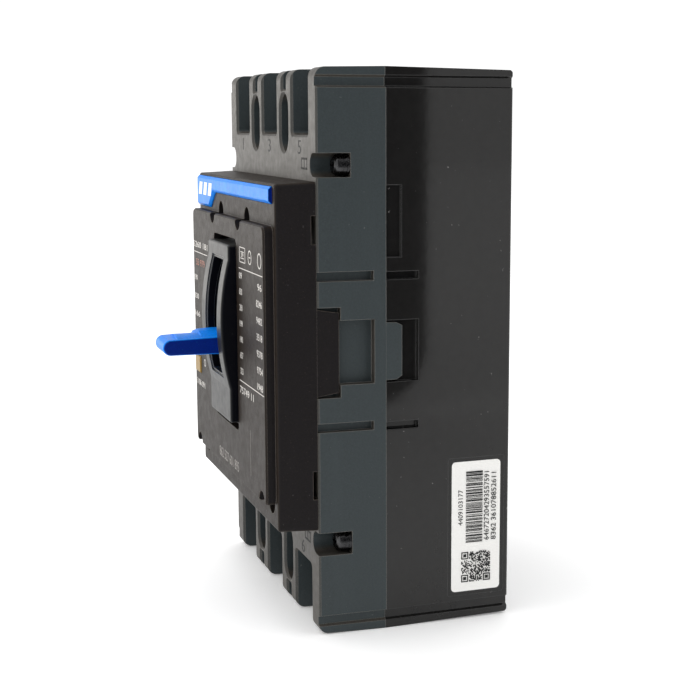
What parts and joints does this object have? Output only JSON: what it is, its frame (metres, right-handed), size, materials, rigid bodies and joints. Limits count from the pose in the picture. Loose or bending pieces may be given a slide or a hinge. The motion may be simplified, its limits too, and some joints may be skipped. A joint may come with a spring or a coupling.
{
  "type": "molded case circuit breaker",
  "caption": "Moulded case circuit breaker with toggle handle, push-to-trip button, open terminal windows at both ends and an over-centre contact mechanism inside.",
  "frame": {"origin": "centre of the rear mounting face", "axes": "+X width, -Y out of the front towards the user, +Z towards the line end"},
  "size_m": [0.105, 0.0961, 0.165],
  "materials": {
    "base_plastic": "glossy",
    "cover_plastic": "satin",
    "front_plastic": "fine texture",
    "bezel_plastic": "glossy",
    "blue_plastic": "satin",
    "yellow_plastic": "satin",
    "label": "matt",
    "screw_steel": "black zinc",
    "plated_steel": "zinc plated",
    "copper": "bare copper",
    "silver_contact": "silver alloy",
    "brass": "machined",
    "iron": "plated iron",
    "bimetal": "rolled",
    "crossbar_plastic": "moulded",
    "fibre": "fibre",
    "spring_steel": "spring wire"
  },
  "bodies": {
    "case": {"arc_chute_walls": "fibre", "base": "base_plastic", "bimetals": "bimetal", "braids": "copper", "button_spring": "spring_steel", "calibration_screws": "plated_steel", "colour_strip": "blue_plastic", "cover_inserts": "brass", "cover_screws": "screw_steel", "deion_plates": "iron", "fixed_contacts": "silver_contact", "flat_washers": "screw_steel", "frame_pins": "plated_steel", "front_cover": "front_plastic", "front_cover_screws": "screw_steel", "handle_bezel": "bezel_plastic", "heaters": "copper", "line_terminal_a": "copper", "line_terminal_b": "copper", "line_terminal_c": "copper", "load_terminal_a": "copper", "load_terminal_b": "copper", "load_terminal_c": "copper", "magnet_yokes": "iron", "main_cover": "cover_plastic", "side_frames": "plated_steel", "side_label": "label", "spring_washers": "screw_steel", "terminal_nuts": "plated_steel"},
    "handle_assembly": {"handle": "blue_plastic", "handle_yoke": "plated_steel", "arc_shutter": "bezel_plastic", "main_springs": "spring_steel"},
    "contact_shaft": {"crossbar": "crossbar_plastic", "contact_arms": "copper", "moving_contacts": "silver_contact", "arm_pins": "plated_steel", "lower_pin": "plated_steel"},
    "lower_toggle": {"lower_links": "plated_steel"},
    "cradle_body": {"cradle": "plated_steel"},
    "upper_toggle": {"upper_links": "plated_steel", "knee_pin": "plated_steel"},
    "trip_shaft": {"trip_bar": "crossbar_plastic", "latch": "plated_steel"},
    "armature_a_body": {"armature_a": "iron"},
    "armature_b_body": {"armature_b": "iron"},
    "armature_c_body": {"armature_c": "iron"},
    "button_body": {"push_to_trip_button": "yellow_plastic"}
  },
  "joints": [
    {"name": "handle_toggle", "type": "hinge", "parent": "case", "child": "handle_assembly", "pos_m": [0, -0.016, 0.005], "axis": [-1, 0, 0], "range_deg": [-5, 19], "deforming": ["main_springs", "braids"]},
    {"name": "contact_shaft_turn", "type": "hinge", "parent": "case", "child": "contact_shaft", "pos_m": [0, -0.022, -0.013], "axis": [-1, 0, 0], "range_deg": [-3.96, 15.01]},
    {"name": "lower_link_pivot", "type": "hinge", "parent": "contact_shaft", "child": "lower_toggle", "pos_m": [0, -0.03213, -0.00225], "axis": [-1, 0, 0], "range_deg": [-19, 5]},
    {"name": "cradle_release", "type": "hinge", "parent": "case", "child": "cradle_body", "pos_m": [0, -0.046, 0.024], "axis": [-1, 0, 0], "range_deg": [0, 2.1]},
    {"name": "upper_link_pivot", "type": "hinge", "parent": "cradle_body", "child": "upper_toggle", "pos_m": [0, -0.052, 0.014], "axis": [-1, 0, 0], "range_deg": [-12.5, 3.4]},
    {"name": "trip_bar_turn", "type": "hinge", "parent": "case", "child": "trip_shaft", "pos_m": [0, -0.033, -0.05], "axis": [1, 0, 0], "range_deg": [0, 8]},
    {"name": "armature_a_swing", "type": "hinge", "parent": "case", "child": "armature_a_body", "pos_m": [0, -0.0285, -0.033], "axis": [1, 0, 0], "range_deg": [0, 3.5], "stiffness_Nm_per_rad": 0.02, "springref_deg": -2.86},
    {"name": "armature_b_swing", "type": "hinge", "parent": "case", "child": "armature_b_body", "pos_m": [0, -0.0285, -0.033], "axis": [1, 0, 0], "range_deg": [0, 3.5], "stiffness_Nm_per_rad": 0.02, "springref_deg": -2.86},
    {"name": "armature_c_swing", "type": "hinge", "parent": "case", "child": "armature_c_body", "pos_m": [0, -0.0285, -0.033], "axis": [1, 0, 0], "range_deg": [0, 3.5], "stiffness_Nm_per_rad": 0.02, "springref_deg": -2.86},
    {"name": "button_push", "type": "slide", "parent": "case", "child": "button_body", "axis": [0, 1, 0], "range_m": [0, 0.0025], "stiffness_N_per_m": 300, "springref_m": -0.001, "deforming": ["button_spring"]}
  ],
  "couplings": [
    {"joint": "contact_shaft_turn", "follows": "handle_toggle", "ratio": 0.78947},
    {"joint": "lower_link_pivot", "follows": "handle_toggle", "ratio": -0.9935},
    {"joint": "upper_link_pivot", "follows": "handle_toggle", "ratio": -0.6499},
    {"joint": "trip_bar_turn", "follows": "button_push", "rad_per_m": 55.152},
    {"joint": "cradle_release", "follows": "button_push", "rad_per_m": 13.963}
  ]
}
